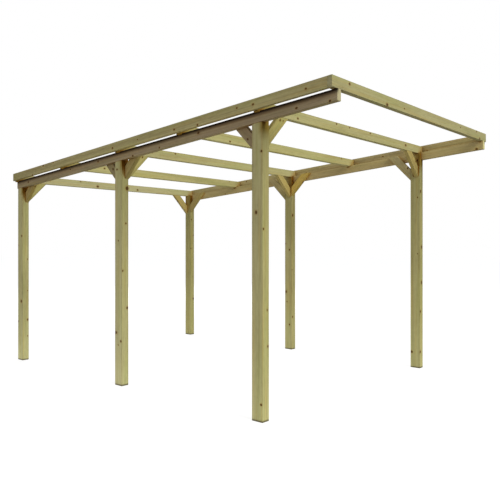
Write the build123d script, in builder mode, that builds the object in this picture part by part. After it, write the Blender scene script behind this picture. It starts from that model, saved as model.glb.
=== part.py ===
from build123d import *
import os
from math import cos, radians, sqrt, tan

# Open timber carport with a single-pitch roof frame that falls to the back.
# Millimetres. +X is the open front, +Y the right-hand side seen from the front
# looking in, +Z up. The origin is on the ground, in the middle of the frame.

# Overall frame
frame_length = 5000     # back of the back posts to the front of the end rafter
row_width = 3072        # outer face to outer face of the two post rows
front_height = 2807     # top of the end rafter above the ground
back_height = 2452      # top of the fascias at the back

# Posts
post_depth = 120        # along the length
post_width = 88         # across the width
post_notch = 44         # width of the outer half that is cut down for the beam
front_overhang = 748    # end rafter's front to the front posts' front face
front_bay = 1977        # front posts to middle posts, face to same face
foot_chamfer = 3        # broken edge round the bottom of a post

# Beams that run along the two rows
beam_thickness = 50
beam_height = 95
beam_end_reach = 8      # how far a beam runs past the frame at each end

# Fascia boards outside the beams
fascia_thickness = 30
fascia_height = 94
fascia_slot = 32        # open slot between a beam and its fascia

# Rafters across the width
rafter_thickness = 45
rafter_height = 95
rafter_lap = 12         # depth of the notch where a rafter drops over a beam
rafter_setback = 22     # front face of a post to the front face of its rafter

# Braces
brace_width = 95
row_brace_run = 314     # level run of a row brace's underside, post to beam top
cross_brace_drop = 294  # rafter's underside to the foot of a brace across
brace_angle = 45
trim_allowance = 30     # spare length that the slanting cut takes off a brace

front = frame_length / 2
back = -frame_length / 2
fall = (front_height - back_height) / frame_length

row_outer = row_width / 2
row_inner = row_outer - post_width
notch_face = row_outer - post_notch
beam_inner = notch_face
beam_outer = beam_inner + beam_thickness
fascia_inner = beam_outer + fascia_slot
fascia_outer = fascia_inner + fascia_thickness

brace_rise = tan(radians(brace_angle))
brace_upright = brace_width / cos(radians(brace_angle))


def ground(x):
    return 0


def roof_top(x):
    return front_height - fall * (front - x)


def beam_top(x):
    return roof_top(x) - fascia_height


def beam_bottom(x):
    return beam_top(x) - beam_height * sqrt(1 + fall * fall)


def rafter_bottom(x):
    return beam_top(x) - rafter_lap


def rafter_top(x):
    return rafter_bottom(x) + rafter_height


post_back_face = {
    "front": front - front_overhang - post_depth,
    "middle": front - front_overhang - front_bay - post_depth,
    "back": back,
}
post_front_face = {place: x + post_depth for place, x in post_back_face.items()}

post_rafter_back = {
    "front": post_front_face["front"] - rafter_setback - rafter_thickness,
    "middle": post_front_face["middle"] - rafter_setback - rafter_thickness,
    "back": back,
}
front_bay_rafter_back = (post_rafter_back["front"] + post_rafter_back["middle"]) / 2
back_bay_rafter_back = (post_rafter_back["middle"] + post_rafter_back["back"]) / 2

rafters = {
    "rafter_front_post": post_rafter_back["front"],
    "rafter_front_bay": front_bay_rafter_back,
    "rafter_middle_post": post_rafter_back["middle"],
    "rafter_back_bay": back_bay_rafter_back,
    "rafter_back_post": post_rafter_back["back"],
}

sides = {"left": -1, "right": 1}

os.makedirs("parts", exist_ok=True)


def save(builder, name):
    builder.part.label = name
    export_step(builder.part, f"parts/{name}.step")


def side_plane(y):
    """Upright plane along the length at y; its normal points to -Y."""
    return Plane.XZ.offset(-y)


def sloped_outline(x_low, x_high, bottom, top):
    """Outline with plumb ends between two heights that follow the roof."""
    with BuildLine() as outline:
        Polyline(
            (x_low, bottom(x_low)),
            (x_high, bottom(x_high)),
            (x_high, top(x_high)),
            (x_low, top(x_low)),
            close=True,
        )
    return outline.line


def between(side, inner, outer):
    """Low and high y of a layer that lies from inner to outer on one side."""
    return sorted((side * inner, side * outer))


# Posts: the outer half stops under the beam, the inner half runs on up
# beside the beam to the rafter's underside.
for side_name, side in sides.items():
    for place, x_low in post_back_face.items():
        x_high = post_front_face[place]
        full_low, full_high = between(side, row_inner, row_outer)
        tongue_low, tongue_high = between(side, row_inner, notch_face)
        with BuildPart() as post:
            with BuildSketch(side_plane(full_low)):
                add(sloped_outline(x_low, x_high, ground, beam_bottom))
                make_face()
            extrude(amount=-(full_high - full_low))
            with BuildSketch(side_plane(tongue_low)):
                add(sloped_outline(x_low, x_high, beam_bottom, rafter_bottom))
                make_face()
            extrude(amount=-(tongue_high - tongue_low))
            chamfer(post.faces().sort_by(Axis.Z)[0].edges(), foot_chamfer)
        save(post, f"post_{side_name}_{place}")

# Beams: one length of timber along each row, plumb at both ends.
for side_name, side in sides.items():
    y_low, y_high = between(side, beam_inner, beam_outer)
    with BuildPart() as beam:
        with BuildSketch(side_plane(y_low)):
            add(sloped_outline(back - beam_end_reach, front + beam_end_reach,
                               beam_bottom, beam_top))
            make_face()
        extrude(amount=-(y_high - y_low))
    save(beam, f"beam_{side_name}")

# Fascias: they stand outside the beams and stop behind the end rafter.
for side_name, side in sides.items():
    y_low, y_high = between(side, fascia_inner, fascia_outer)
    with BuildPart() as fascia:
        with BuildSketch(side_plane(y_low)):
            add(sloped_outline(back, front - rafter_thickness, beam_top, roof_top))
            make_face()
        extrude(amount=-(y_high - y_low))
    save(fascia, f"fascia_{side_name}")

# Rafters: they run from fascia to fascia and are notched over both beams.
for name, x_low in rafters.items():
    x_high = x_low + rafter_thickness
    with BuildPart() as rafter:
        with BuildSketch(side_plane(-fascia_inner)):
            add(sloped_outline(x_low, x_high, rafter_bottom, rafter_top))
            make_face()
        extrude(amount=-2 * fascia_inner)
        for side in sides.values():
            y_low, y_high = between(side, beam_inner, beam_outer)
            with BuildSketch(side_plane(y_low)):
                add(sloped_outline(x_low, x_high, rafter_bottom, beam_top))
                make_face()
            extrude(amount=-(y_high - y_low), mode=Mode.SUBTRACT)
    save(rafter, name)

# End rafter: it lies on top of the beams, across the ends of the fascias.
with BuildPart() as end_rafter:
    with BuildSketch(side_plane(-fascia_outer)):
        add(sloped_outline(front - rafter_thickness, front, beam_top, roof_top))
        make_face()
    extrude(amount=-2 * fascia_outer)
save(end_rafter, "rafter_front_end")


def row_brace_outline(x_face, direction):
    """Slanting board from a post's face up and away to the top of the beam."""
    x_low_end = x_face + direction * row_brace_run
    foot = beam_top(x_low_end) - row_brace_run * brace_rise
    shoulder = foot + brace_upright
    high_reach = (beam_top(x_face) - shoulder) / (brace_rise - direction * fall)
    x_high_end = x_face + direction * high_reach
    with BuildLine() as outline:
        Polyline(
            (x_face, foot),
            (x_low_end, beam_top(x_low_end)),
            (x_high_end, beam_top(x_high_end)),
            (x_face, shoulder),
            close=True,
        )
    return outline.line


# Braces along the rows: they butt against a post and lap the beam's inner face.
row_braces = {
    "front_rearward": (post_back_face["front"], -1),
    "middle_forward": (post_front_face["middle"], 1),
    "middle_rearward": (post_back_face["middle"], -1),
    "back_forward": (post_front_face["back"], 1),
}
for side_name, side in sides.items():
    y_low, y_high = between(side, row_inner, notch_face)
    for place, (x_face, direction) in row_braces.items():
        with BuildPart() as row_brace:
            with BuildSketch(side_plane(y_low)):
                add(row_brace_outline(x_face, direction))
                make_face()
            extrude(amount=-(y_high - y_low))
        save(row_brace, f"row_brace_{side_name}_{place}")

# Braces across the width: from a post's inner face up to its rafter.
for side_name, side in sides.items():
    for place, x_low in post_rafter_back.items():
        seat = rafter_bottom(x_low)
        foot = seat - cross_brace_drop
        reach = (cross_brace_drop + trim_allowance) / brace_rise
        head = seat + trim_allowance
        head_width = brace_upright / brace_rise
        under_rafter = Plane(origin=(x_low, 0, seat), z_dir=(-fall, 0, 1))
        with BuildPart() as cross_brace:
            with BuildSketch(Plane.YZ.offset(x_low)):
                with BuildLine():
                    Polyline(
                        (side * row_inner, foot),
                        (side * (row_inner - reach), head),
                        (side * (row_inner - reach + head_width), head),
                        (side * row_inner, foot + brace_upright),
                        close=True,
                    )
                make_face()
            extrude(amount=rafter_thickness)
            split(bisect_by=under_rafter, keep=Keep.BOTTOM)
        save(cross_brace, f"cross_brace_{side_name}_{place}")
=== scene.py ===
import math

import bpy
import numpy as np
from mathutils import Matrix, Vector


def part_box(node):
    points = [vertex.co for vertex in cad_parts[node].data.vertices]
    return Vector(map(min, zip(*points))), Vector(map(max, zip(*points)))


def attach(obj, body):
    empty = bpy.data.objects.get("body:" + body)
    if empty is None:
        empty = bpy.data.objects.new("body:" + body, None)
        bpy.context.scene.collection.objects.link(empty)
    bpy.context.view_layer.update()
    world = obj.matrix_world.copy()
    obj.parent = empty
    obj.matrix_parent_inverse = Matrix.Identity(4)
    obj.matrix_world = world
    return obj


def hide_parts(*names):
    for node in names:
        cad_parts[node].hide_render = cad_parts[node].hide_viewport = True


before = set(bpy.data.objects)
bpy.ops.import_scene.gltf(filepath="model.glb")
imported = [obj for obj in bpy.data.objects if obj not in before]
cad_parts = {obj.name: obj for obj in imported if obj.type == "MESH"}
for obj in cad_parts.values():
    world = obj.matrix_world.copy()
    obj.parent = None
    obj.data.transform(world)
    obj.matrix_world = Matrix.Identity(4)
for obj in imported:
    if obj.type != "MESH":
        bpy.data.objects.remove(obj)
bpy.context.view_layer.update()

# %% [markdown]
# ## The bare frame and its numbers
# The frame that comes from the CAD is thirty plain solids. Everything below
# is measured from them, so the dressed timbers land exactly on the solids:
# the boxes give the lengths, and the beam gives the slope of the roof.

names = sorted(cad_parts)
touching = 1e-4     # points this close to a plane count as lying on it


def span(node):
    """Low and high corner of a solid as two arrays, in metres."""
    low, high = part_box(node)
    return np.array(low), np.array(high)


def vertices(node):
    """All points of a solid as an array of rows (x, y, z)."""
    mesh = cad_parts[node].data
    co = np.empty(len(mesh.vertices) * 3)
    mesh.vertices.foreach_get("co", co)
    return co.reshape(-1, 3)


beam_low, beam_high = span("beam_left")
beam_points = vertices("beam_left")
back_end = beam_points[beam_points[:, 0] < beam_low[0] + touching]
beam_drop = beam_high[2] - back_end[:, 2].max()
fall = beam_drop / (beam_high[0] - beam_low[0])
roof_normal = np.array([-fall, 0.0, 1.0])
print("solids:", len(names), "roof fall:", round(fall, 4))


# %% Height of the beams
def beam_top(x):
    """Height of the top of both beams at x."""
    return beam_high[2] - (beam_high[0] - x) * fall


print("beam top at the middle of the frame:", round(beam_top(0.0), 3), "m")

# %% [markdown]
# ## One way to shape every timber
# A planed softwood timber is a rectangle with its four long edges eased by
# the planer knives to a radius of about three millimetres, and its sawn ends
# are barely broken. One could bevel a box, but then a slanting end or a notch
# would need its own modelling. So each timber is a rounded rectangle carried
# along a straight line, and every cut is only a place where the rings of
# points lean or change their width.

# %% The rounded section
arris = 0.003       # radius of the planed long edges
arc_points = 4      # points round one of them


def section(low_a, high_a, low_b, high_b, radius):
    """Rings of a rounded rectangle, one for each value in the arrays.

    Corner centres sit one radius inside the rectangle. Each corner is a
    quarter circle: centre + radius * (cos q, sin q). One more point stands
    in the middle of every side. Returns a and b, each rings x points.
    """
    low_a, high_a, low_b, high_b, radius = np.broadcast_arrays(
        low_a, high_a, low_b, high_b, radius)
    mid_a, mid_b = (low_a + high_a) / 2, (low_b + high_b) / 2
    sides = ((mid_a, high_b), (low_a, mid_b), (mid_a, low_b), (high_a, mid_b))
    columns_a, columns_b = [], []
    for turn, (pick_a, pick_b) in enumerate(((1, 1), (0, 1), (0, 0), (1, 0))):
        centre_a = np.where(pick_a, high_a - radius, low_a + radius)
        centre_b = np.where(pick_b, high_b - radius, low_b + radius)
        q = math.pi / 2 * (turn + np.linspace(0, 1, arc_points))
        columns_a.append(centre_a[:, None] + radius[:, None] * np.cos(q))
        columns_b.append(centre_b[:, None] + radius[:, None] * np.sin(q))
        columns_a.append(sides[turn][0][:, None])
        columns_b.append(sides[turn][1][:, None])
    return np.hstack(columns_a), np.hstack(columns_b)


print("points in a ring:", 4 * arc_points + 4)

# %% [markdown]
# ## Saw cuts
# A point of a timber is origin + a * across + b * through + s * along. A saw
# cut is a flat plane, and on a plane s depends on a and b in a straight way:
# s = start + lean_a * a + lean_b * b. Those three numbers are all that a ring
# needs to lie in the cut, so plumb, level and slanting cuts are one thing.


# %% A cut as three numbers
def cut(point, normal, origin, axes):
    """Start and leans of the plane through a point, square to a normal.

    The plane holds normal . (place - point) = 0, which is solved for s at
    the timber's middle line and then for how s changes with a and b.
    """
    across, through, along = axes
    facing = float(np.dot(normal, along))
    start = float(np.dot(normal, np.asarray(point) - origin)) / facing
    return np.array([start, -np.dot(normal, across) / facing,
                     -np.dot(normal, through) / facing])


roof_cut = cut((0, 0, 0), roof_normal, np.zeros(3), np.eye(3))
print("lean of a roof cut on an upright timber:", round(roof_cut[1], 3))

# %% [markdown]
# ## From one end to the other
# The rings are laid out from the low end to the high end: a tiny quarter
# round at the sawn edge, the long run, and the same again in reverse. A notch
# is a pair of rings that sit almost on one plane and have different widths.

# %% Lay out the rings
ease = 0.0016           # how far a sawn end is broken at its rim
ease_rings = 4          # rings over that tiny round
ring_step = 0.055       # distance of the rings along the run
notch_gap = 0.0002      # half the distance of a notch's two rings


def lay_rings(box, ends, steps):
    """Cut, box and inset of every ring, from low to high.

    box is (low_a, high_a, low_b, high_b); ends are two cuts; steps are
    (cut, box before, box after). At a sawn end the ring sits
    ease * (1 - cos k) inside the end and is ease * (1 - sin k) narrower.
    """
    run = [(ends[0], box)]
    gap = np.array([notch_gap, 0, 0])
    for place, before, after in steps:
        run.append((place - gap, np.asarray(before, float)))
        run.append((place + gap, np.asarray(after, float)))
    run.append((ends[1], run[-1][1]))

    places, boxes, insets = [], [], []
    quarter = np.linspace(0, math.pi / 2, ease_rings)
    for k in quarter:
        places.append(ends[0] + [ease * (1 - math.cos(k)), 0, 0])
        boxes.append(run[0][1])
        insets.append(ease * (1 - math.sin(k)))
    for (here, size), (there, _) in zip(run[0::2], run[1::2]):
        count = max(int(round((there[0] - here[0]) / ring_step)), 2)
        for f in np.linspace(0, 1, count + 1):
            if here is run[0][0] and f == 0 or there is run[-1][0] and f == 1:
                continue
            places.append(here * (1 - f) + there * f)
            boxes.append(size)
            insets.append(0.0)
    for k in quarter[::-1]:
        places.append(ends[1] - [ease * (1 - math.cos(k)), 0, 0])
        boxes.append(run[-1][1])
        insets.append(ease * (1 - math.sin(k)))
    return np.array(places), np.array(boxes), np.array(insets)


print("ring step:", ring_step, "m, rings over a sawn rim:", ease_rings)

# %% [markdown]
# ## A live edge and closed ends
# A planer's knives don't cut one radius all the way: it wanders by a quarter
# or so, and that catches the light. The ends are closed with a few smaller
# rings and a middle point, so the end grain has points to carry its colour.

# %% Points of a timber
random = np.random.default_rng(1948)
end_rings = (0.30, 0.62, 0.86)              # sizes of the rings on an end
wander_rates = (2.3, 5.1, 11.7)             # of the three sines, radians a metre
wander_share = 0.28                         # of the radius
rim_share = 0.4                             # of the inset, off the radius


def sawn_end(a, b, box, place):
    """Rings on a sawn end: its outline shrunk towards its middle.

    Returns a, b and s of the rings and their distance from the rim.
    """
    size = np.array(end_rings)[:, None]
    mid_a, mid_b = (box[0] + box[1]) / 2, (box[2] + box[3]) / 2
    ring_a = mid_a + (a - mid_a) * size
    ring_b = mid_b + (b - mid_b) * size
    half = min(box[1] - box[0], box[3] - box[2]) / 2
    far = (1 - size) * half + 0 * ring_a
    ring_s = place[0] + place[1] * ring_a + place[2] * ring_b
    return ring_a, ring_b, ring_s, far


print("rings on a sawn end:", len(end_rings))


# %% Points in rings
full_turn = 6.28        # a starting angle for each sine is drawn up to this
pole_far = 0.02         # the middle of an end counts as this far from its edges


def timber_points(box, ends, steps):
    """All points of a timber, ring by ring from low to high, then two poles.

    The radius is arris * (1 + share * the mean of three sines of s).
    Returns a, b, s, the distance from the nearest long edge, the distance
    from the nearest sawn end, and the number of rings.
    """
    places, boxes, insets = lay_rings(box, ends, steps)
    phase = random.uniform(0, full_turn, len(wander_rates))
    middle = places[:, 0]
    wander = sum(np.sin(middle * rate + turn)
                 for rate, turn in zip(wander_rates, phase)) / len(wander_rates)
    radius = arris * (1 + wander_share * wander) - insets * rim_share
    low_a, high_a, low_b, high_b = boxes.T
    a, b = section(low_a + insets, high_a - insets,
                   low_b + insets, high_b - insets, radius)
    s = places[:, :1] + places[:, 1:2] * a + places[:, 2:3] * b

    mid_a = (low_a + high_a)[:, None] / 2
    mid_b = (low_b + high_b)[:, None] / 2
    edge = np.maximum(high_a[:, None] - mid_a - np.abs(a - mid_a),
                      high_b[:, None] - mid_b - np.abs(b - mid_b))
    edge = np.maximum(edge, 0)
    first = ends[0][0] + ends[0][1] * a + ends[0][2] * b
    last = ends[1][0] + ends[1][1] * a + ends[1][2] * b
    end = np.minimum(s - first, last - s)

    a0, b0, s0, e0 = sawn_end(a[0], b[0], boxes[0], ends[0])
    a1, b1, s1, e1 = sawn_end(a[-1], b[-1], boxes[-1], ends[1])
    a = np.vstack([a0, a, a1[::-1]])
    pole_a, pole_b = mid_a[[0, -1], 0], mid_b[[0, -1], 0]
    pole_s = [cut_end @ [1, pa, pb] for cut_end, pa, pb in zip(ends, pole_a, pole_b)]
    return (
        np.concatenate([a.ravel(), pole_a]),
        np.concatenate([np.vstack([b0, b, b1[::-1]]).ravel(), pole_b]),
        np.concatenate([np.vstack([s0, s, s1[::-1]]).ravel(), pole_s]),
        np.concatenate([np.vstack([e0, edge, e1[::-1]]).ravel(), [pole_far, pole_far]]),
        np.concatenate([np.vstack([0 * e0, end, 0 * e1]).ravel(), [0.0, 0.0]]),
        len(a),
    )


print("sines in the radius:", len(wander_rates))


# %% Faces between the rings
ring_points = 4 * arc_points + 4


def timber_faces(rings, mirrored):
    """Four-sided faces between the rings, three-sided ones round the poles.

    Point j of ring i has the number i * ring_points + j; the poles are last.
    A mirrored set of axes turns every face round, so it looks outwards.
    """
    i, j = np.meshgrid(np.arange(rings - 1), np.arange(ring_points), indexing="ij")
    k = (j + 1) % ring_points
    quads = np.stack([i * ring_points + j, i * ring_points + k,
                      (i + 1) * ring_points + k, (i + 1) * ring_points + j], -1)
    j = np.arange(ring_points)
    k = (j + 1) % ring_points
    pole = rings * ring_points
    base = pole - ring_points
    fans = np.vstack([np.stack([np.full(ring_points, pole), k, j], -1),
                      np.stack([np.full(ring_points, pole + 1), base + j, base + k], -1)])
    turn = -1 if mirrored else 1
    return quads.reshape(-1, 4)[:, ::turn], fans[:, ::turn]


print("faces round a pole:", ring_points)

# %% [markdown]
# ## Painted light and shade along the timbers
# Some light and shade is painted into the wood's tone. A post is painted lighter towards its
# foot, as if lit from the floor. Its front face is painted darker under the beam, where shade
# falls. The rafters are painted darker where they run out into the slot on the left. These are
# slow changes along a timber, so they are worked out point by point and handed to the wood as
# one tone, together with the tone of that length of timber.

# %% Tones of the single timbers, with painted light and shade
# Each factor is partly the timber's own tone and partly painted light and shade: it also lifts
# or lowers how bright the piece renders under these lamps, as for the far beam and fascia in the
# near row's shade.
tones_and_painted_light = {
    "post_left_back": (1.18, 1.19, 1.22),
    "post_left_middle": (1.05, 1.05, 1.10),
    "post_left_front": (0.99, 0.98, 0.98),
    "post_right_back": (0.97, 0.95, 0.86),
    "post_right_middle": (0.97, 0.95, 0.92),
    "post_right_front": (0.88, 0.87, 0.83),
    "fascia_left": (1.11, 1.12, 1.06),
    "fascia_right": (1.35, 1.31, 1.34),
    "beam_left": (0.89, 0.89, 0.92),
    "beam_right": (1.25, 1.27, 1.07),
    "rafter_front_end": (0.78, 0.78, 0.86),
    "rafter_front_post": (0.90, 0.91, 0.96),
    "rafter_front_bay": (0.96, 0.97, 0.99),
    "rafter_middle_post": (0.94, 0.95, 1.02),
    "rafter_back_post": (1.05, 1.07, 1.27),
    "row_brace_left_front_rearward": (0.65, 0.62, 0.85),
    "row_brace_left_middle_forward": (0.80, 0.80, 0.78),
    "row_brace_left_middle_rearward": (0.70, 0.73, 0.93),
    "row_brace_left_back_forward": (0.94, 0.92, 0.86),
    "row_brace_right_front_rearward": (0.97, 1.02, 1.30),
    "row_brace_right_middle_forward": (1.27, 1.15, 0.78),
    "row_brace_right_middle_rearward": (0.96, 0.97, 1.18),
    "cross_brace_left_front": (0.85, 0.93, 1.00),
    "cross_brace_left_middle": (0.89, 0.97, 0.99),
    "cross_brace_left_back": (0.93, 1.04, 1.10),
}
print("timbers with a tone of their own:", len(tones_and_painted_light))

# %% Painted floor light on the feet, painted shade under the beams
painted_bounce_reach = 0.7                      # height over which a foot's painted floor light fades
painted_bounce_base = 0.95
painted_bounce_gain = (0.18, 0.235, 0.33)
painted_shade_loss = (0.43, 0.57, 0.83)           # what the painted shade takes from each colour
shade_below_head = 0.14                         # a post's front face is fully painted dark this far below its head
head_fade = 0.08                        # and the painted shade fades out over this below that
rafter_fade = 0.25                      # the same along a rafter, outwards
face_skin = 0.004                       # points this near the front face are on it
unshaded = 9.0                               # further out than any timber reaches


def painted_bounce_and_shade(kind, a, s, front, head, shade_from):
    """Tone of every point from painted floor light and painted shade.

    A post is painted lighter towards its foot by base + gain * exp(-height / reach). Its front
    face is painted darker towards its head, under the beam. The left end of a rafter, in the
    slot, is painted darker from shade_from outwards. Each painted shade fades in along a
    straight line.
    """
    # Painted light and shade: lighter towards a post's foot, darker under the beam and in the
    # slot.
    painted_bounce = np.ones((len(s), 3))
    painted_shade = np.clip((-s - shade_from) / rafter_fade, 0, 1)
    if kind == "post":
        painted_bounce = painted_bounce_base + np.exp(-s / painted_bounce_reach)[:, None] * painted_bounce_gain
        shade_start = head - shade_below_head
        painted_shade = np.clip((s - shade_start + head_fade) / head_fade, 0, 1) * (a > front - face_skin)
    return painted_bounce * (1 - painted_shade[:, None] * painted_shade_loss)


print("painted floor light at the ground:", np.round(painted_bounce_base + np.array(painted_bounce_gain), 3))

# %% [markdown]
# ## Knots as branches
# A knot is a branch that the trunk grew round: a straight ray from the heart
# of the tree out through the timber. A disc painted on one face would stop at
# the edge, so every corner of every face gets its offset from the nearest
# ray, and the wood draws the knot from that on each face the ray comes out of.


# %% Offsets from the knots
out_of_reach = 10.0         # further than any timber is long


def knot_offsets(knots, heart, start, values, centres, loops, face_of):
    """Offset of every face corner from the face's nearest knot.

    The offset is (along the timber, across the ray, radius). A face on the
    far side of the heart gets radius 0 and so shows no knot.
    """
    if len(knots) == 0:
        return np.zeros((len(loops), 3))
    knots = np.asarray(knots, float)
    ray = knots[:, 1:3] - heart
    ray = ray / np.linalg.norm(ray, axis=1)[:, None]
    from_heart = centres[:, None, 1:3] - heart
    out = (from_heart * ray).sum(-1)
    sideways = from_heart[..., 1] * ray[:, 0] - from_heart[..., 0] * ray[:, 1]
    distance = np.hypot(centres[:, None, 0] - start - knots[:, 0], sideways)
    distance = distance + np.where(out < 0, out_of_reach, 0.0)
    nearest = distance.argmin(1)
    facing = np.take_along_axis(out, nearest[:, None], 1)[:, 0] > 0
    pick = nearest[face_of]
    corner = values[loops]
    off = corner[:, 1:3] - heart
    across_ray = off[:, 1] * ray[pick, 0] - off[:, 0] * ray[pick, 1]
    return np.stack([corner[:, 0] - start - knots[pick, 0], across_ray,
                     np.where(facing[face_of], knots[pick, 3], 0.0)], -1)


def write(mesh, label, kind, domain, values):
    """Store an array on the mesh under a name that the wood can read."""
    field = mesh.attributes.new(label, kind, domain)
    key = "vector" if kind == "FLOAT_VECTOR" else "value"
    field.data.foreach_set(key, np.asarray(values, np.float32).ravel())


print("a knot on the far side of the heart counts as", out_of_reach, "m away")

# %% [markdown]
# ## A finished timber
# The points, faces and marks come together in one mesh. Besides its tone, which holds painted
# light and shade, and its knots, it carries where each point lies in the tree, how near it is to
# an eased edge or a sawn end, and where painted shade darkens a beam under its slot. Only the
# arcs of the long edges are shaded smooth: the planed faces are flat.

# %% Timber builder
end_reach = 0.03        # added on kinds whose sawn ends don't show pale
most_aside = 40         # a timber's own number is drawn from 0 to this


def dressed_timber(name, kind, origin, axes, box, ends, knots, heart,
                   steps=(), outward=0, shade_from=unshaded):
    """One planed timber as a closed mesh in its own place.

    axes are across, through and along. outward is the sign of a on a beam's outer face, whose
    top gets painted shade under the slot, or 0. The other inputs are as explained above.
    """
    across, through, along = (np.asarray(v, float) for v in axes)
    box, heart = np.asarray(box, float), np.asarray(heart, float)
    a, b, s, edge, end, rings = timber_points(box, ends, steps)
    co = (origin + a[:, None] * across + b[:, None] * through + s[:, None] * along)
    mirrored = np.dot(np.cross(across, through), along) < 0
    quads, fans = timber_faces(rings, mirrored)
    mesh = bpy.data.meshes.new("planed_" + name)
    mesh.from_pydata(co.tolist(), [], quads.tolist() + fans.tolist())
    mesh.update()

    loops = np.concatenate([quads.ravel(), fans.ravel()])
    face_of = np.concatenate([np.repeat(np.arange(len(quads)), 4),
                              len(quads) + np.repeat(np.arange(len(fans)), 3)])
    values = np.stack([s, a, b], -1)
    sums = np.zeros((len(quads) + len(fans), 3))
    np.add.at(sums, face_of, values[loops])
    centres = sums / np.bincount(face_of)[:, None]

    start = s.min()
    write(mesh, "grain", "FLOAT_VECTOR", "POINT",
          np.stack([s - start, a - heart[0], b - heart[1]], -1))
    own_number = random.uniform(0, most_aside)
    write(mesh, "timber", "FLOAT", "POINT", np.full(len(co), own_number))
    # The tone holds the timber's own tone together with painted light and shade.
    write(mesh, "tone", "FLOAT_VECTOR", "POINT",
          painted_bounce_and_shade(kind, a, s, box[1], ends[1][0], shade_from) * tones_and_painted_light.get(name, (1, 1, 1)))
    # Painted shade under the slot, strongest at the top of a beam's outer face.
    write(mesh, "drip", "FLOAT", "POINT",
          np.clip(b / box[3], 0, 1) * np.clip(outward * a / box[1], 0, 1))
    write(mesh, "edge", "FLOAT", "POINT", edge)
    write(mesh, "sawn", "FLOAT", "POINT", end if kind == "beam" else end + end_reach)
    write(mesh, "knot", "FLOAT_VECTOR", "CORNER",
          knot_offsets(knots, heart, start, values, centres, loops, face_of))

    arc = np.isin(np.arange(ring_points) % (arc_points + 1), np.arange(arc_points - 1))
    smooth = np.zeros(len(mesh.polygons), bool)
    smooth[:len(quads)] = np.tile(arc, rings - 1)
    mesh.polygons.foreach_set("use_smooth", smooth)
    thing = bpy.data.objects.new("planed_" + name, mesh)
    bpy.context.scene.collection.objects.link(thing)
    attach(thing, "root")
    return thing


kinds = {}


def stand_in(thing, node):
    """Let a finished timber take the place of its plain solid."""
    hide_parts(node)
    kinds.setdefault(node.split("_")[0], []).append(thing)


print("timber builder ready")

# %% [markdown]
# ## Where the knots sit
# Branches leave a softwood trunk in whorls, so knots come in loose groups along a timber, 25 to
# 60 centimetres apart, with clear wood between. The ones that are seen first are listed one by
# one; the rest are scattered.

# %% Knots listed for the posts
# (face, height, offset across that face, radius) in metres. Face 0 looks to
# the left of the frame and face 1 to its front.
post_knots = {
    "post_left_back": (
        (0, 0.775, 0.028, 0.010), (0, 0.506, -0.045, 0.007), (0, 1.635, 0.040, 0.007),
        (0, 1.512, -0.045, 0.005), (1, 0.529, 0.029, 0.008), (1, 1.328, 0.029, 0.005),
        (1, 0.314, 0.029, 0.005), (1, 0.913, 0.027, 0.004)),
    "post_left_middle": (
        (0, 0.568, -0.045, 0.008), (0, 0.480, 0.045, 0.007), (0, 1.561, 0.000, 0.005),
        (0, 0.439, 0.000, 0.005), (0, 2.330, -0.023, 0.006), (1, 2.126, 0.029, 0.012),
        (1, 0.835, 0.029, 0.007), (1, 1.238, -0.029, 0.006), (1, 1.747, 0.010, 0.006)),
    "post_left_front": (
        (0, 1.793, -0.011, 0.009), (0, 0.153, 0.045, 0.006), (0, 2.312, 0.050, 0.006),
        (1, 0.643, 0.029, 0.006), (1, 1.650, -0.029, 0.006), (1, 0.956, 0.019, 0.005)),
    "post_right_front": (
        (0, 0.192, -0.045, 0.008), (0, 2.101, 0.034, 0.005), (0, 1.407, 0.034, 0.004),
        (0, 2.556, 0.030, 0.008), (0, 2.376, -0.014, 0.009), (1, 1.052, 0.008, 0.011),
        (1, 1.489, 0.012, 0.011), (1, 2.175, -0.015, 0.010), (1, 0.696, -0.019, 0.008),
        (1, 0.200, -0.025, 0.008)),
    "post_right_middle": (
        (0, 0.835, -0.040, 0.010), (0, 1.448, 0.023, 0.007), (0, 0.359, 0.023, 0.007),
        (0, 1.537, -0.045, 0.005), (0, 0.689, -0.023, 0.005), (1, 1.948, -0.017, 0.011),
        (1, 0.472, -0.019, 0.008), (1, 1.157, -0.029, 0.004), (1, 2.446, -0.020, 0.006)),
    "post_right_back": (
        (1, 0.606, 0.029, 0.009), (1, 1.458, -0.029, 0.006), (1, 1.950, -0.019, 0.006),
        (1, 1.681, 0.029, 0.005)),
}
print("knots placed by hand on posts:", sum(len(k) for k in post_knots.values()))

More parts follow.
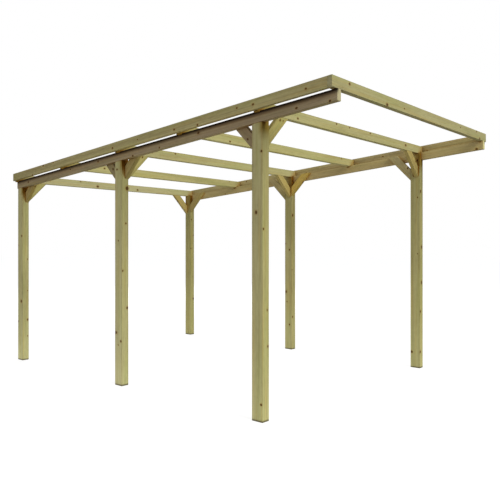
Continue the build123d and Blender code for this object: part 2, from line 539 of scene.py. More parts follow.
# %% Knots listed for the other timbers
# (distance from the low end, offset across the shown face, radius). It is
# the left face of timbers along the rows and the front face of those across.
face_knots = {
    "fascia_left": (
        (0.774, 0.033, 0.009), (2.212, -0.011, 0.008), (3.210, -0.011, 0.007),
        (1.008, 0.033, 0.006), (4.218, 0.000, 0.007), (3.533, -0.033, 0.006),
        (4.032, 0.011, 0.006), (0.506, -0.043, 0.006), (2.643, 0.000, 0.005),
        (4.770, -0.003, 0.006)),
    "beam_left": (
        (0.295, -0.002, 0.009), (1.864, 0.007, 0.008), (3.491, 0.007, 0.008),
        (2.490, -0.037, 0.007), (4.638, -0.019, 0.007), (1.294, 0.008, 0.006),
        (2.922, -0.029, 0.006), (4.961, -0.037, 0.006)),
    "beam_right": (
        (4.954, -0.035, 0.009), (3.220, 0.036, 0.008), (1.115, 0.036, 0.010),
        (0.913, -0.035, 0.005)),
    "rafter_front_end": (
        (0.855, -0.033, 0.010), (3.011, -0.033, 0.009), (0.249, 0.022, 0.007),
        (2.916, 0.033, 0.006), (2.460, 0.011, 0.005), (1.177, -0.011, 0.005)),
    "rafter_front_post": (
        (2.698, 0.007, 0.010), (0.341, -0.031, 0.007), (1.872, 0.031, 0.006),
        (1.211, 0.031, 0.006), (0.567, -0.018, 0.007), (1.454, 0.031, 0.005)),
    "rafter_front_bay": (
        (0.979, 0.019, 0.008), (1.034, -0.014, 0.006), (2.844, 0.031, 0.005),
        (0.705, -0.026, 0.006)),
    "rafter_middle_post": (
        (0.817, 0.031, 0.006), (0.473, 0.006, 0.006), (2.374, -0.031, 0.005)),
    "rafter_back_bay": (
        (0.897, 0.007, 0.008), (0.994, 0.015, 0.006), (0.599, 0.011, 0.007),
        (2.899, 0.031, 0.004)),
    "rafter_back_post": (
        (1.776, -0.006, 0.013), (1.243, -0.018, 0.011), (1.973, -0.018, 0.009),
        (0.473, 0.006, 0.006), (0.957, 0.031, 0.005)),
    "row_brace_left_front_rearward": ((0.151, -0.019, 0.006),),
    "row_brace_right_front_rearward": ((0.137, 0.035, 0.006),),
    "cross_brace_left_middle": ((0.345, 0.004, 0.007),),
}
print("and on the others:", sum(len(k) for k in face_knots.values()))

# %% Scattered knots
whorl_distance = 0.42
whorl_variation = (0.6, 1.4)    # times that distance
whorl_depth = 0.03              # of a knot from the middle of its whorl
first_whorl = 0.1
knot_radii = (0.004, 0.009)
brace_length = 0.45             # near enough for scattering knots on a brace


def scattered_knots(length, box, low_turn, high_turn):
    """Knots as (along, a, b, radius), in whorls of one or two.

    Each sits on the ellipse of the box, at a turn between the two given:
    centre + half width * (cos turn, sin turn).
    """
    rows = []
    along = random.uniform(first_whorl, whorl_distance)
    while along < length - whorl_depth:
        for _ in range(random.integers(1, 3)):
            turn = random.uniform(low_turn, high_turn)
            a = (box[0] + box[1]) / 2 + (box[1] - box[0]) / 2 * math.cos(turn)
            b = (box[2] + box[3]) / 2 + (box[3] - box[2]) / 2 * math.sin(turn)
            size = random.uniform(*knot_radii)
            rows.append((along + random.uniform(-whorl_depth, whorl_depth), a, b, size))
        along += random.uniform(*whorl_variation) * whorl_distance
    return rows


def knots_for(name, length, box):
    """All knots of a timber: the listed ones where there are any, else scattered.

    A post gets scattered ones too, on the faces that look away from the camera.
    """
    rows = [(height, offset, box[2], size) if face == 0 else (height, box[1], offset, size)
            for face, height, offset, size in post_knots.get(name, ())]
    shown = box[1] if name.startswith(("rafter_", "cross_")) else box[0]
    rows += [(along, shown, offset, size) for along, offset, size in face_knots.get(name, ())]
    if not rows:
        return scattered_knots(length, box, 0, 2 * math.pi)
    if name.startswith("post_"):
        return rows + scattered_knots(length, box, math.pi / 2, math.pi)
    return rows


print("whorls every", whorl_distance, "m or so")

# %% [markdown]
# ## Box and heart
# A timber is measured from its own middle line, so its section is a box with
# equal halves. Where the heart of the tree lies decides what the faces show:
# inside a post the rings close round it, and outside a board they run out
# into long stripes. A random place within limits makes every timber differ.

# %% Box and heart
heart_wander = 0.02         # either side of the middle, across the other way


def centred(half_a, half_b):
    """Section box (low_a, high_a, low_b, high_b) round the middle line."""
    return -half_a, half_a, -half_b, half_b


def heart_at(near, far, side=1):
    """Heart of the tree: side * (near to far) one way, about 0 the other."""
    return side * random.uniform(near, far), random.uniform(-heart_wander, heart_wander)


print("the heart wanders by", heart_wander, "m")

# %% [markdown]
# ## Posts
# Each post is a heavy planed square timber. Its outer half is sawn off under
# the beam, which sits on that shoulder, and the inner half goes on up beside
# the beam to the rafter. The shoulder and the top follow the roof's slope.
# The head could be cut with a box and a Boolean, which leaves stray edges.
# Here it is one pair of rings in the plane of the shoulder. The heart of the
# tree runs up inside a post, a little off its middle.

# %% Build the posts
upright = np.eye(3)
underside = (beam_low[0], 0.0, back_end[:, 2].min())
for node in [n for n in names if n.startswith("post_")]:
    low, high = span(node)
    left = "_left_" in node
    seat_low, seat_high = span("beam_left" if left else "beam_right")
    centre = (low + high) / 2
    origin = np.array([centre[0], centre[1], 0.0])
    half = (high - low) / 2
    box = centred(half[0], half[1])
    notch = (seat_high[1] if left else seat_low[1]) - centre[1]
    tongue = (*box[:2], notch, box[3]) if left else (*box[:3], notch)
    foot = cut((0, 0, 0), (0, 0, 1), origin, upright)
    shoulder = cut(underside, roof_normal, origin, upright)
    top = cut((high[0], 0, high[2]), roof_normal, origin, upright)
    heart = heart_at(-0.03, 0.03)
    post = dressed_timber(node, "post", origin, upright, box, (foot, top),
                          knots_for(node, high[2], box), heart,
                          steps=((shoulder, box, tongue),))
    stand_in(post, node)
print("posts:", len(kinds["post"]))

# %% [markdown]
# ## Beams and fascias
# The beams are long planed boards on edge, plumb at both ends. The fascias
# are thinner boards of the same height one slot further out. A level board
# turned to the slope would do, but then its object would be turned too. So
# the board is built along the slope, and its plumb ends are leaning rings.
# Both kinds are sawn from the side of the log, with the heart outside them.

# %% Build the beams and fascias
slope = math.atan(fall)
on_the_slope = np.array([[0.0, 1.0, 0.0],
                         [-math.sin(slope), 0.0, math.cos(slope)],
                         [math.cos(slope), 0.0, math.sin(slope)]])
plumb = (1, 0, 0)
# The face of each beam towards its fascia: its top is painted nearly black as shade under the
# slot.
slot_side = {"beam_left": -1, "beam_right": 1}
for node in [n for n in names if n.startswith(("beam_", "fascia_"))]:
    low, high = span(node)
    origin = (low + high) / 2
    rise = (high[0] - low[0]) * fall
    tall = (high[2] - low[2] - rise) * math.cos(slope)
    box = centred((high[1] - low[1]) / 2, tall / 2)
    ends = (cut(low, plumb, origin, on_the_slope), cut(high, plumb, origin, on_the_slope))
    heart = heart_at(0.04, 0.07)
    board = dressed_timber(node, node.split("_")[0], origin, on_the_slope, box, ends,
                           knots_for(node, high[0] - low[0], box), heart,
                           outward=slot_side.get(node, 0))
    stand_in(board, node)
print("beams:", len(kinds["beam"]), "fascias:", len(kinds["fascia"]))

# %% [markdown]
# ## Rafters
# The rafters cross from fascia to fascia. Their edges follow the roof while
# their faces stand upright, and a shallow notch drops each one over the
# beams. The end rafter at the front is whole: it lies on top of the beams.
# To give the edges the roof's slope, the section itself leans: one step to
# the front also goes up by the fall, and nothing has to be turned or cut.

# %% Build the rafters
right_low, right_high = span("beam_right")
inside_beam = 0.2                   # a rafter's painted shade starts this far inside the left beam
shade_from = -beam_high[1] - inside_beam
rafter_axes = np.array([[1.0, 0.0, fall], [0.0, 0.0, 1.0], [0.0, 1.0, 0.0]])
side_cut = (0, 1, 0)
for node in [n for n in names if n.startswith("rafter_")]:
    low, high = span(node)
    origin = (low + high) / 2
    half_x = (high[0] - low[0]) / 2
    tall = high[2] - low[2] - 2 * half_x * fall
    box = centred(half_x, tall / 2)
    ends = (cut(low, side_cut, origin, rafter_axes), cut(high, side_cut, origin, rafter_axes))
    whole = node == "rafter_front_end"
    notched = (*box[:2], beam_top(origin[0]) - origin[2], box[3])
    faces = ((beam_low[1], box, notched), (beam_high[1], notched, box),
             (right_low[1], box, notched), (right_high[1], notched, box))
    steps = [(cut((0, y, 0), side_cut, origin, rafter_axes), before, after)
             for y, before, after in faces]
    heart = heart_at(0.05, 0.08, side=-1)
    rafter = dressed_timber(node, "rafter", origin, rafter_axes, box, ends,
                            knots_for(node, high[1] - low[1], box), heart,
                            steps=() if whole else steps,
                            shade_from=unshaded if whole else shade_from)
    stand_in(rafter, node)
print("rafters:", len(kinds["rafter"]))

# %% [markdown]
# ## Braces along the rows
# A knee brace keeps a post and its beam square to each other. It is a short
# board at half a right angle, sawn plumb against the post and to the slope at
# the beam's top. Its own box is measured square to its length, so its width
# is the height of the plumb cut times the sine of half a right angle.

# %% Build the braces along the rows
slant = math.sqrt(0.5)              # sine and cosine of half a right angle
for node in [n for n in names if n.startswith("row_brace_")]:
    low, high = span(node)
    rising = 1.0 if node.endswith("forward") else -1.0
    face = low[0] if rising > 0 else high[0]
    axes = np.array([[0.0, 1.0, 0.0],
                     [-rising * slant, 0.0, slant],
                     [rising * slant, 0.0, slant]])
    points = vertices(node)
    shoulder = points[np.abs(points[:, 0] - face) < touching, 2].max()
    wide = (shoulder - low[2]) * slant
    run = high[0] - low[0]
    foot_corner = np.array([face, 0.0, low[2]])
    head_corner = np.array([face + rising * run, 0.0, low[2] + run])
    origin = (foot_corner + head_corner) / 2 + axes[1] * wide / 2
    origin[1] = (low[1] + high[1]) / 2
    box = centred((high[1] - low[1]) / 2, wide / 2)
    ends = (cut((face, 0, 0), plumb, origin, axes),
            cut((face, 0, beam_top(face)), roof_normal, origin, axes))
    heart = heart_at(0.05, 0.08)
    brace = dressed_timber(node, "brace", origin, axes, box, ends,
                           knots_for(node, brace_length, box), heart)
    stand_in(brace, node)
print("braces along the rows:", len(kinds["row"]))

# %% [markdown]
# ## Braces across the width
# These stiffen the frame the other way. They are sawn plumb against the
# post's inner face and to the slope under the rafter, and are just as thick
# as the rafter they hold. The roof falls across their thickness here, so the
# upper cut leans from face to face, which a plain box would get wrong.

# %% Build the braces across the width
brace_middle = 0.2                  # where the origin sits along a brace
for node in [n for n in names if n.startswith("cross_brace_")]:
    low, high = span(node)
    left = "_left_" in node
    inward = 1.0 if left else -1.0
    face = low[1] if left else high[1]
    axes = np.array([[1.0, 0.0, 0.0],
                     [0.0, -inward * slant, slant],
                     [0.0, inward * slant, slant]])
    points = vertices(node)
    on_post = points[np.abs(points[:, 1] - face) < touching, 2]
    wide = (on_post.max() - on_post.min()) * slant
    foot_corner = np.array([(low[0] + high[0]) / 2, face, low[2]])
    origin = foot_corner + axes[2] * brace_middle + axes[1] * wide / 2
    box = centred((high[0] - low[0]) / 2, wide / 2)
    ends = (cut((0, face, 0), side_cut, origin, axes),
            cut((high[0], 0, high[2]), roof_normal, origin, axes))
    heart = heart_at(0.05, 0.08, side=-1)
    brace = dressed_timber(node, "brace", origin, axes, box, ends,
                           knots_for(node, brace_length, box), heart)
    stand_in(brace, node)
print("braces across the width:", len(kinds["cross"]))

# %% [markdown]
# ## The wood
# Pressure-treated pine is pale straw with a green cast. Its tone comes from
# several things at once, and each of the next steps adds one of them. One
# group of nodes makes them all from the place each point has in the tree, so
# stripes run on round an edge the way they do in solid wood. A flat drawing
# of planks wrapped round the boards would show a seam at every corner.


# %% Short hand for nodes
class Nodes:
    """Adds nodes to a tree and joins them up, one short line for each step."""

    def __init__(self, tree):
        self.tree = tree

    def add(self, kind, **settings):
        """A new node with its settings."""
        node = self.tree.nodes.new(kind)
        for key, value in settings.items():
            setattr(node, key, value)
        return node

    def feed(self, socket, value):
        """Link a socket to another one, or give it a plain value."""
        if isinstance(value, bpy.types.NodeSocket):
            self.tree.links.new(value, socket)
        else:
            socket.default_value = value

    def fill(self, node, *values):
        """Feed the first inputs of a node, in their order."""
        for socket, value in zip(node.inputs, values):
            self.feed(socket, value)
        return node

    def read(self, label, output="Fac"):
        """A value that was written on the mesh."""
        return self.add("ShaderNodeAttribute", attribute_name=label).outputs[output]

    def split(self, vector):
        """The three numbers of a vector."""
        return self.fill(self.add("ShaderNodeSeparateXYZ"), vector).outputs

    def join(self, *numbers):
        """A vector from its numbers."""
        return self.fill(self.add("ShaderNodeCombineXYZ"), *numbers).outputs[0]

    def vector(self, operation, *values):
        """One step of arithmetic on vectors."""
        node = self.fill(self.add("ShaderNodeVectorMath", operation=operation), *values)
        return node.outputs["Value" if operation == "LENGTH" else "Vector"]

    def math(self, operation, *values, clamp=False):
        """One step of arithmetic on numbers."""
        node = self.add("ShaderNodeMath", operation=operation, use_clamp=clamp)
        return self.fill(node, *values).outputs[0]

    def times(self, first, second, clamp=False):
        """first * second"""
        return self.math("MULTIPLY", first, second, clamp=clamp)

    def plus(self, total, value, share):
        """total + share * value"""
        return self.math("ADD", total, self.times(value, share))

    def swing(self, total, value, share):
        """total + share * (value - 0.5), so noise takes away as often as it adds."""
        return self.plus(total, self.math("SUBTRACT", value, 0.5), share)

    def reach(self, x, y):
        """Square root of x * x + y * y."""
        return self.math("SQRT", self.math("ADD", self.times(x, x), self.times(y, y)))

    def ramp(self, value, low, high, to_low=0.0, to_high=1.0):
        """Smooth step that is to_low up to low and to_high from high on."""
        node = self.add("ShaderNodeMapRange", interpolation_type="SMOOTHSTEP")
        return self.fill(node, value, low, high, to_low, to_high).outputs[0]

    def noise(self, place, scale, detail=2.0, roughness=0.5):
        """Soft random number round 0.5 that changes from place to place."""
        node = self.add("ShaderNodeTexNoise")
        for label, value in (("Vector", place), ("Scale", scale),
                             ("Detail", detail), ("Roughness", roughness)):
            self.feed(node.inputs[label], value)
        return node.outputs["Fac"]

    def streaks(self, place, along, across, detail=2.0, roughness=0.5, scale=1.0):
        """Noise with so many changes a metre along the grain and across it."""
        stretched = self.vector("MULTIPLY", place, (along, across, across))
        return self.noise(stretched, scale, detail, roughness)

    def mix(self, factor, first, second, blend="MIX"):
        """Colour between first and second; with MULTIPLY, second tints first."""
        node = self.add("ShaderNodeMix", data_type="RGBA", blend_type=blend)
        for number, value in ((0, factor), (6, first), (7, second)):
            self.feed(node.inputs[number], value)
        return node.outputs[2]


print("short hands:", sum(not word.startswith("_") for word in vars(Nodes)))

# %% [markdown]
# ## A place in the wood
# The wood asks where a point lies in its tree, not where it is in the room.
# Each timber also has a number of its own that moves it to another part of
# the noise, by different steps each way, so no two timbers look alike.

# %% Open the wood group
pine = bpy.data.node_groups.new("treated pine", "ShaderNodeTree")
for label, kind in (("Pale wood", "Color"), ("Dark wood", "Color"),
                    ("Stripes", "Float"), ("Corner shade", "Float")):
    pine.interface.new_socket(name=label, in_out="INPUT", socket_type="NodeSocket" + kind)
for label, kind in (("Color", "Color"), ("Roughness", "Float"), ("Normal", "Vector")):
    pine.interface.new_socket(name=label, in_out="OUTPUT", socket_type="NodeSocket" + kind)
n = Nodes(pine)
given = n.add("NodeGroupInput")
grain = n.read("grain", "Vector")
timber = n.read("timber")
aside, upward = 0.37, -0.61
shift = n.join(timber, n.times(timber, aside), n.times(timber, upward))
place = n.vector("ADD", grain, shift)
print("inputs of the wood:", [socket.name for socket in given.outputs if socket.name])

# %% [markdown]
# ## Shape of a knot
# A sawn branch shows as a dark disc, a little longer along the grain because
# it grew at a slant. Its bark leaves a ragged, nearly black rim. Resin stains
# the wood round it, and the growth rings bend to pass it. All four depend on
# one number: how many knot radii a point is away.

# %% Knots
knot_flattening = 0.72                  # width of a knot over its length
rag_scale, rag_depth = 90.0, 0.5        # changes a metre; in knot radii
smallest_knot = 0.001
knot_along, knot_across, knot_size = n.split(n.read("knot", "Vector"))
divisor = n.math("MAXIMUM", knot_size, smallest_knot / 2)
far = n.reach(n.math("DIVIDE", n.times(knot_along, knot_flattening), divisor),
              n.math("DIVIDE", knot_across, divisor))
far = n.swing(far, n.noise(place, rag_scale), rag_depth)
there = n.math("GREATER_THAN", knot_size, smallest_knot)
core = n.times(n.ramp(far, 1.1, 0.75), there)
rim = n.times(n.times(n.ramp(far, 1.5, 1.05), n.ramp(far, 0.7, 1.0)), there)
halo = n.times(n.ramp(far, 2.8, 0.9), there)
bend = n.times(n.ramp(far, 5.0, 0.0), there)
print("nodes after the knots:", len(pine.nodes))

# %% [markdown]
# ## Growth rings
# Every year leaves a pale band and a narrow dark one. How deep a point lies
# in the trunk is its distance from the heart, plus the trunk's own waviness
# and the bend round a knot. A sine of that depth gives the dark bands, and
# because the depth is one solid field, faces and ends agree at every edge.

# %% Rings
ring_width = 0.0042         # one year's growth in metres
trunk_wave = 0.05
knot_bend = 0.012
run_along, heart_a, heart_b = n.split(grain)
depth = n.reach(heart_a, heart_b)
depth = n.swing(depth, n.streaks(place, 0.55, 6.0, 3.0, 0.55), trunk_wave)
depth = n.plus(depth, bend, knot_bend)
late = n.ramp(n.math("SINE", n.times(depth, 2 * math.pi / ring_width)), 0.1, 0.95)
print("growth rings:", round(1 / ring_width), "to the metre")

# %% [markdown]
# ## Stripes, fibres and flecks
# Sawn along, the rings run out into long stripes. The broad ones come from
# the depth, read slowly. The slim ones, the fibres, the patches and the
# flecks are noise drawn out along the grain by different amounts. The parts
# that swing both ways leave the mean tone of a timber as it is.

# %% Stripes
broad_rate, broad_drift = 46.0, 0.22    # changes a metre of depth, and along
broad = n.noise(n.join(n.times(depth, broad_rate), n.plus(timber, run_along, broad_drift)),
                1.0, 1.0)
slim = n.streaks(place, 0.9, 120.0, 2.0, 0.6)
fibre = n.streaks(place, 9.0, 420.0, 2.0, 0.6)
patch = n.streaks(place, 2.2, 9.0)
fleck = n.streaks(place, 16.0, 62.0, 3.0, 0.65)
cloud = n.streaks(place, 0.8, 2.0, 1.0)
dark = n.times(n.ramp(broad, 0.38, 0.66), 0.36)
dark = n.plus(dark, n.ramp(slim, 0.42, 0.68), 0.38)
dark = n.plus(dark, late, 0.16)
for part, share in ((fibre, 0.35), (patch, 0.5), (fleck, 0.9), (cloud, 0.7)):
    dark = n.swing(dark, part, share)
dark = n.times(dark, given.outputs["Stripes"], clamp=True)
color = n.mix(dark, given.outputs["Pale wood"], given.outputs["Dark wood"])
print("nodes after the stripes:", len(pine.nodes))

# %% [markdown]
# ## Colours on top
# The treatment leaves green where it soaked in and lets warm wood show where
# it didn't, in long drifts. Then come the knots: ochre resin, a brown
# core and a nearly black rim, in this order, because each lies over the last.

# %% Drifts and knots
green_tint = (0.72, 0.86, 0.52, 1)
warm_tint = (1.0, 0.86, 0.62, 1)
resin = (0.360, 0.200, 0.035, 1)
knot_brown = (0.088, 0.040, 0.009, 1)
bark_black = (0.028, 0.014, 0.004, 1)
greener = n.ramp(n.streaks(place, 1.3, 14.0), 0.40, 0.75, 0.0, 0.32)
color = n.mix(greener, color, green_tint, "MULTIPLY")
warmer = n.ramp(n.streaks(place, 0.8, 26.0, scale=1.7), 0.48, 0.72, 0.0, 0.5)
color = n.mix(warmer, color, warm_tint, "MULTIPLY")
for mark, strength, tint in ((halo, 0.60, resin), (core, 0.94, knot_brown),
                             (rim, 0.85, bark_black)):
    color = n.mix(n.times(mark, strength), color, tint)
print("nodes after the knots' colours:", len(pine.nodes))

# %% [markdown]
# ## Ends, edges and painted slot shade
# End grain dries out paler, most of all right on the cut. The eased edges are a little darker,
# unevenly. And the top of a beam's outer face, under the slot between the beam and its fascia,
# is painted nearly black as shade.

# %% Ends, edges and painted slot shade
dry_wood = (0.56, 0.52, 0.32, 1)
edge_darkening = (0.096, 0.072, 0.032, 1)
slot_shade_black = (0.011, 0.0065, 0.003, 1)
end_fade, cut_skin = 0.03, 0.0006       # metres from a sawn end
edge_fade, edge_dark_strength = 0.006, 0.55
slot_shade_gain, slot_shade_most = 1.35, 0.97
sawn = n.read("sawn")
near_end = n.math("ADD", n.ramp(sawn, end_fade, 0.0, 0.0, 0.14),
                  n.ramp(sawn, cut_skin, 0.0001, 0.0, 0.62))
color = n.mix(near_end, color, dry_wood)
# Darker along the eased edges, more in some patches.
edge_dark = n.times(n.ramp(n.read("edge"), edge_fade, 0.0), n.ramp(patch, 0.3, 0.7, 0.45, 1.0))
color = n.mix(n.times(edge_dark, edge_dark_strength), color, edge_darkening)
# Painted shade: the top of a beam's outer face is darkened under the slot.
slot_shade = n.math("MINIMUM", n.times(n.read("drip"), slot_shade_gain), slot_shade_most)
color = n.mix(slot_shade, color, slot_shade_black)
print("pale ends fade over", end_fade, "m")

# %% [markdown]
# ## Painted shade in corners and at the foot
# Where timbers meet, shade is painted into the wood: warm brown first and, right in the corner,
# nearly black. How shut in a point is comes from short rays sent out from it. At the ground a
# thin dark line of painted contact shadow stands instead, so the corner shade starts further up.

# %% Painted corner shade and contact shadow
painted_corner_tint = (0.78, 0.44, 0.14, 1)
painted_corner_black = (0.016, 0.008, 0.004, 1)
contact_shadow_brown = (0.072, 0.056, 0.028, 1)
ray_reach, ray_count = 0.13, 8
# Painted shade: corners where timbers meet are darkened by how shut in they are, warm brown
# first, then nearly black.
corner = n.add("ShaderNodeAmbientOcclusion", samples=ray_count)
corner.inputs["Distance"].default_value = ray_reach
daylight = corner.outputs["AO"]
above_ground = n.split(n.add("ShaderNodeTexCoord").outputs["Object"])[2]
aloft = n.ramp(above_ground, 0.2, 0.5)
corner_shade = n.times(n.ramp(daylight, 0.88, 0.40), n.times(given.outputs["Corner shade"], aloft), clamp=True)
color = n.mix(corner_shade, color, painted_corner_tint, "MULTIPLY")
deep_corner_shade = n.times(n.ramp(daylight, 0.55, 0.15, 0.0, 0.92), aloft)
color = n.mix(deep_corner_shade, color, painted_corner_black)
# Painted contact shadow: a thin dark line at the foot, where the post meets the floor.
painted_contact_shadow = n.ramp(above_ground, 0.024, 0.006, 0.0, 0.85)
color = n.mix(painted_contact_shadow, color, contact_shadow_brown)
print("corners are felt from", ray_reach, "m away")

# %% [markdown]
# ## Drying cracks
# Timber splits along the grain as it dries: thin, dark, long lines, only here
# and there. They sit where a drawn-out noise passes through its middle value,
# and only in some of the patches. They are the last thing on the surface; the
# timber's own tone then multiplies everything.

# %% Cracks and tone
crack_black = (0.048, 0.036, 0.016, 1)
crack_width, crack_strength = 0.012, 0.7
line = n.math("ABSOLUTE", n.math("SUBTRACT", n.streaks(place, 1.6, 130.0, 1.0), 0.5))
crack = n.times(n.ramp(line, crack_width, 0.0), n.ramp(patch, 0.60, 0.72))
color = n.mix(n.times(crack, crack_strength), color, crack_black)
color = n.vector("MULTIPLY", color, n.read("tone", "Vector"))
print("nodes after the cracks:", len(pine.nodes))

# %% [markdown]
# ## Feel of the surface
# Rough-planed pine is matt. Fibres stand up by fractions of a millimetre,
# late wood and knots are harder and stand proud, and cracks are deep. That
# goes into a bump rather than the mesh, for it is far finer than its faces.

# %% Roughness and bump
base_roughness = 0.62
bump_strength, bump_height = 0.5, 0.0006
rough = n.plus(n.plus(base_roughness, fibre, 0.22), core, -0.18)
height = n.plus(n.times(fibre, 0.6), late, 0.35)
height = n.plus(n.plus(height, core, 0.5), crack, -2.2)
bump = n.add("ShaderNodeBump")
for label, value in (("Strength", bump_strength), ("Distance", bump_height), ("Height", height)):
    n.feed(bump.inputs[label], value)
result = n.add("NodeGroupOutput")
for label, value in (("Color", color), ("Roughness", rough), ("Normal", bump.outputs[0])):
    n.feed(result.inputs[label], value)
print("nodes in the wood group:", len(pine.nodes))

# %% [markdown]
# ## One finish for each kind of timber
# The kinds come from different packs of timber, so each has its own pale and dark tone, its own
# strength of stripe and its own share of painted corner shade. The wood is matt: a stronger
# reflection would lay a grey veil over the dark spots.

# %% Give each timber its finish
matt_gloss = 0.08
finishes = {
    # pale wood, dark wood, stripes, painted corner shade
    "post": ((0.496, 0.464, 0.214), (0.296, 0.256, 0.112), 0.8, 2.2),
    "beam": ((0.416, 0.336, 0.180), (0.280, 0.210, 0.116), 0.9, 0.9),
    "fascia": ((0.424, 0.376, 0.176), (0.256, 0.212, 0.096), 1.1, 0.45),
    "rafter": ((0.504, 0.468, 0.224), (0.336, 0.296, 0.136), 0.9, 0.9),
    "brace": ((0.496, 0.408, 0.160), (0.304, 0.228, 0.080), 1.0, 0.35),
}
for kind, (pale, dark, stripes, corner_shade_share) in finishes.items():
    finish = bpy.data.materials.new(kind + " timber")
    finish.use_nodes = True
    tree = finish.node_tree
    shader = tree.nodes["Principled BSDF"]
    wood = tree.nodes.new("ShaderNodeGroup")
    wood.node_tree = pine
    wood.inputs["Pale wood"].default_value = (*pale, 1)
    wood.inputs["Dark wood"].default_value = (*dark, 1)
    wood.inputs["Stripes"].default_value = stripes
    wood.inputs["Corner shade"].default_value = corner_shade_share
    tree.links.new(wood.outputs["Color"], shader.inputs["Base Color"])
    tree.links.new(wood.outputs["Roughness"], shader.inputs["Roughness"])
    tree.links.new(wood.outputs["Normal"], shader.inputs["Normal"])
    shader.inputs["Specular IOR Level"].default_value = matt_gloss
    for group in ("row", "cross") if kind == "brace" else (kind,):
        for thing in kinds[group]:
            thing.data.materials.append(finish)
print("finishes:", len(finishes))

# %% [markdown]
# ## Floor
# The frame stands on a plain white floor. It is white to the camera, where it
# glows a little by itself and keeps a faint shadow. To bounced light it is a
# pale patch about as wide as the frame, which makes the posts brighter
# towards their feet; further out it is dark, so the undersides of the roof
# timbers stay deep.


# %% Floor
def seen_directly(nodes):
    """1 for the camera and for mirror or glass, 0 for all bounced light."""
    rays = nodes.add("ShaderNodeLightPath").outputs
    seen = nodes.math("MAXIMUM", rays["Is Camera Ray"], rays["Is Glossy Ray"])
    return nodes.math("MAXIMUM", seen, rays["Is Transmission Ray"])


floor_reach, floor_level = 60.0, -0.001
floor_mesh = bpy.data.meshes.new("floor")
floor_mesh.from_pydata([(x * floor_reach, y * floor_reach, floor_level)
                        for x, y in ((-1, -1), (1, -1), (1, 1), (-1, 1))], [], [(0, 1, 2, 3)])
floor = bpy.data.objects.new("floor", floor_mesh)
bpy.context.scene.collection.objects.link(floor)
floor_finish = bpy.data.materials.new("floor white")
floor_finish.use_nodes = True
floor_finish.node_tree.nodes.clear()
floor.data.materials.append(floor_finish)
print("floor:", 2 * floor_reach, "m wide")

# %% White to the camera, a pale patch to bounced light
shadow_grey = (0.24, 0.24, 0.24, 1)     # the small part that can fall in shadow
pale_patch, dark_floor = (0.87, 0.84, 0.74, 1), (0.08, 0.08, 0.07, 1)
f = Nodes(floor_finish.node_tree)
away = f.vector("LENGTH", f.vector("MULTIPLY", f.add("ShaderNodeTexCoord").outputs["Object"],
                                   (1.0, 1.0, 0.0)))
white_part = f.fill(f.add("ShaderNodeBsdfDiffuse"), shadow_grey)
glow = f.add("ShaderNodeEmission")
f.feed(glow.inputs["Strength"], f.ramp(away, 3.0, 14.0, 0.862, 0.946))
white_floor = f.fill(f.add("ShaderNodeAddShader"), white_part.outputs[0], glow.outputs[0])
bounce = f.mix(f.ramp(away, 2.8, 4.2), pale_patch, dark_floor)
deep_floor = f.fill(f.add("ShaderNodeBsdfDiffuse"), bounce)
floor_mix = f.fill(f.add("ShaderNodeMixShader"), seen_directly(f),
                   deep_floor.outputs[0], white_floor.outputs[0])
f.fill(f.add("ShaderNodeOutputMaterial"), floor_mix.outputs[0])
print("nodes in the floor's finish:", len(floor_finish.node_tree.nodes))

# %% [markdown]
# ## Room
# The camera sees a plain white room. Its light is much weaker and a little
# cool, so that it fills the shades without washing them out.

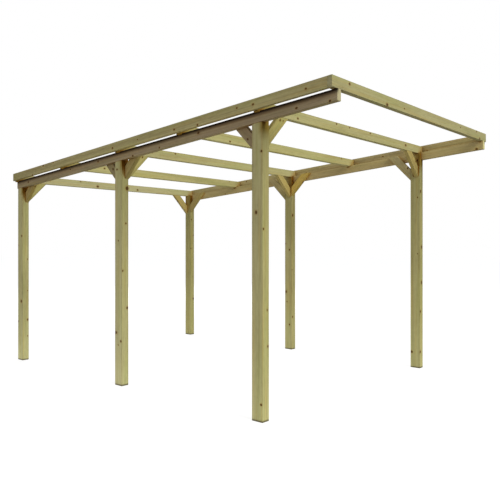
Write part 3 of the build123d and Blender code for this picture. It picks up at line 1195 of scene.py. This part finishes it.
# %% Room
room_tint, room_strength = (0.98, 1.0, 1.08, 1), 0.219
room = bpy.data.worlds.new("white room")
bpy.context.scene.world = room
room.use_nodes = True
room.node_tree.nodes.clear()
r = Nodes(room.node_tree)
room_light = r.fill(r.add("ShaderNodeBackground"), room_tint, room_strength)
room_white = r.fill(r.add("ShaderNodeBackground"), (1, 1, 1, 1), 1.0)
room_mix = r.fill(r.add("ShaderNodeMixShader"), seen_directly(r),
                  room_light.outputs[0], room_white.outputs[0])
r.fill(r.add("ShaderNodeOutputWorld"), room_mix.outputs[0])
print("room:", room.name, "at", room_strength)

# %% [markdown]
# ## Soft panels
# Three round panels light the frame: a large warm one high in front, a cooler
# one low on the left, and a broad one behind for the far faces. Their size
# makes the light soft, with hardly a shadow, as in a studio.


# %% Panels
def panel(name, where, aim_height, size, watts, color):
    """A round panel aimed at a height over the middle of the frame.

    It leans by the angle of its level distance over its drop, and turns by
    the angle of its direction on the floor, less a quarter turn.
    """
    light = bpy.data.lights.new(name, "AREA")
    light.shape = "DISK"
    light.size = size
    light.energy = watts
    light.color = color
    lamp = bpy.data.objects.new(name, light)
    bpy.context.scene.collection.objects.link(lamp)
    lamp.location = where
    facing = np.array((0, 0, aim_height), float) - np.array(where, float)
    lamp.rotation_euler = (math.atan2(math.hypot(facing[0], facing[1]), -facing[2]), 0,
                           math.atan2(facing[1], facing[0]) - math.pi / 2)
    return lamp


panels = [
    panel("front panel", (11.0, -1.0, 9.0), 1.6, 8.0, 1378, (1.02, 1.0, 0.88)),
    panel("back panel", (-11.0, 7.0, 7.0), 1.6, 8.0, 1030, (1.0, 1.0, 1.0)),
    panel("left panel", (0.0, -12.0, 2.5), 1.0, 6.0, 432, (1.02, 0.98, 1.10)),
]
print("panels:", [lamp.name for lamp in panels])

# %% [markdown]
# ## Camera
# The camera stands at eye height off the front left corner and looks level,
# so the posts stay upright in the picture. The frame is placed in the picture
# by a small shift of the lens instead of a tilt, as a view camera does it.

# %% Camera
camera_turn = 0.8463        # radians to the right of looking along -X
camera_data = bpy.data.cameras.new("camera")
camera = bpy.data.objects.new("camera", camera_data)
bpy.context.scene.collection.objects.link(camera)
camera.location = (4.9926, -5.3567, 1.5097)
camera.rotation_euler = (math.radians(90), 0, math.radians(90) - camera_turn)
camera_data.lens = 42.458
camera_data.sensor_width = 36
camera_data.shift_y = -0.00914
camera_data.clip_start = 0.1
camera_data.clip_end = 200
bpy.context.scene.camera = camera
bpy.context.scene.view_settings.view_transform = "Standard"
print("lens:", round(camera_data.lens, 1), "mm")
